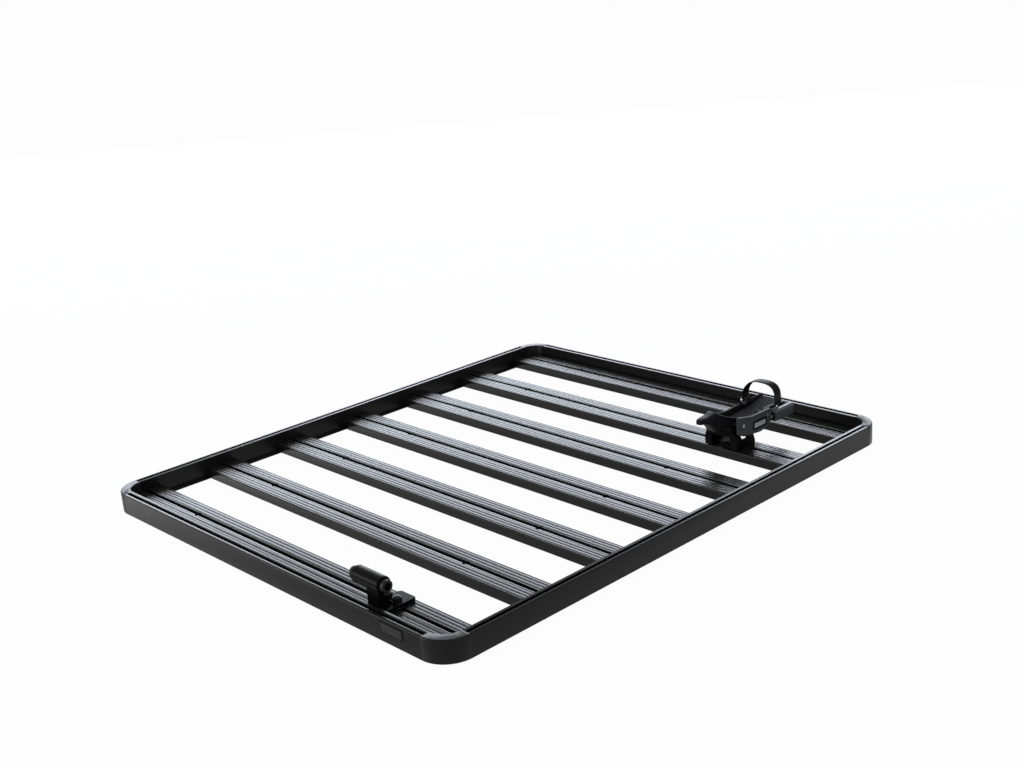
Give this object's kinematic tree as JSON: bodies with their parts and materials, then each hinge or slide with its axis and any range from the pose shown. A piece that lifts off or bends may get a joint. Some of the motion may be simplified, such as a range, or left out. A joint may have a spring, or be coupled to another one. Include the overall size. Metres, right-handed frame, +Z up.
{
  "type": "roof mounted bike carrier",
  "caption": "Flat rectangular roof tray with slotted slats, carrying a through-axle fork mount in front and a tilting wheel cradle with a ratchet strap behind.",
  "frame": {"origin": "centre of the bounding box in X and Y, on the underside of the rails", "axes": "+X across the tray along its slats, towards the side that carries the bicycle; -Y towards the end with the fork mount; +Z up"},
  "size_m": [1.165, 1.358, 0.1507],
  "materials": {
    "rail_coating": "black powder coat, semi-gloss",
    "slat_coating": "black powder coat, semi-gloss",
    "corner_coating": "black powder coat, semi-gloss",
    "mount_coating": "black powder coat, semi-gloss",
    "dark_steel": "blackened steel",
    "steel": "zinc plated",
    "ring_plastic": "black, moulded",
    "knob_plastic": "black, moulded",
    "cradle_plastic": "black, moulded",
    "cover_plastic": "dark grey, moulded",
    "strap_plastic": "black, flexible",
    "pad_rubber": "black",
    "liner_rubber": "black"
  },
  "bodies": {
    "tray": {"front_rail": "rail_coating", "rear_rail": "rail_coating", "left_rail": "rail_coating", "right_rail": "rail_coating", "front_left_corner": "corner_coating", "front_right_corner": "corner_coating", "rear_left_corner": "corner_coating", "rear_right_corner": "corner_coating", "slat_1": "slat_coating", "slat_2": "slat_coating", "slat_3": "slat_coating", "slat_4": "slat_coating", "slat_5": "slat_coating", "slat_6": "slat_coating", "slat_7": "slat_coating", "slat_screws": "steel", "slat_nuts": "steel", "corner_screws": "steel"},
    "fork_mount": {"fork_mount_body": "mount_coating", "fork_axle_sleeve": "dark_steel", "fork_ring_left": "ring_plastic", "fork_ring_right": "ring_plastic", "fork_base_pad": "pad_rubber", "fork_t_bolts": "steel", "fork_washers": "steel", "fork_cap_nuts": "knob_plastic"},
    "cradle_bracket": {"cradle_base": "cradle_plastic", "cradle_base_pad": "pad_rubber", "cradle_slot_keys": "knob_plastic", "cradle_t_bolt": "steel", "cradle_washer": "steel", "tilt_rod": "steel"},
    "clamp_knob": {"cradle_knob": "knob_plastic"},
    "trough": {"cradle_trough": "cradle_plastic", "tyre_liner": "liner_rubber", "side_cover": "cover_plastic", "cover_screws": "steel", "ratchet_frame": "mount_coating", "frame_screws": "steel", "paddle_pin": "steel", "paddle_spring": "steel", "strap_anchor": "mount_coating", "anchor_rivets": "steel", "strap_anchor_pin": "steel"},
    "paddle": {"release_paddle": "knob_plastic"},
    "strap": {"wheel_strap": "strap_plastic"}
  },
  "joints": [
    {"name": "fork_slide", "type": "slide", "parent": "tray", "child": "fork_mount", "axis": [1, 0, 0], "range_m": [-0.868, 0.162]},
    {"name": "cradle_slide", "type": "slide", "parent": "tray", "child": "cradle_bracket", "axis": [1, 0, 0], "range_m": [-0.84, 0.145]},
    {"name": "knob_spin", "type": "hinge", "parent": "cradle_bracket", "child": "clamp_knob", "pos_m": [0.353, 0.404, 0.039], "axis": [0, 0, 1], "continuous": true},
    {"name": "cradle_tilt", "type": "hinge", "parent": "cradle_bracket", "child": "trough", "pos_m": [0.353, 0.416, 0.056], "axis": [1, 0, 0], "range_deg": [-8, 8]},
    {"name": "strap_swing", "type": "hinge", "parent": "trough", "child": "strap", "pos_m": [0.3185, 0.506, 0.098], "axis": [0, -1, 0], "range_deg": [0, 105]},
    {"name": "paddle_press", "type": "hinge", "parent": "trough", "child": "paddle", "pos_m": [0.405, 0.536, 0.076], "axis": [0, 1, 0], "range_deg": [0, 15], "stiffness_Nm_per_rad": 0.4, "springref_deg": -17.19}
  ]
}
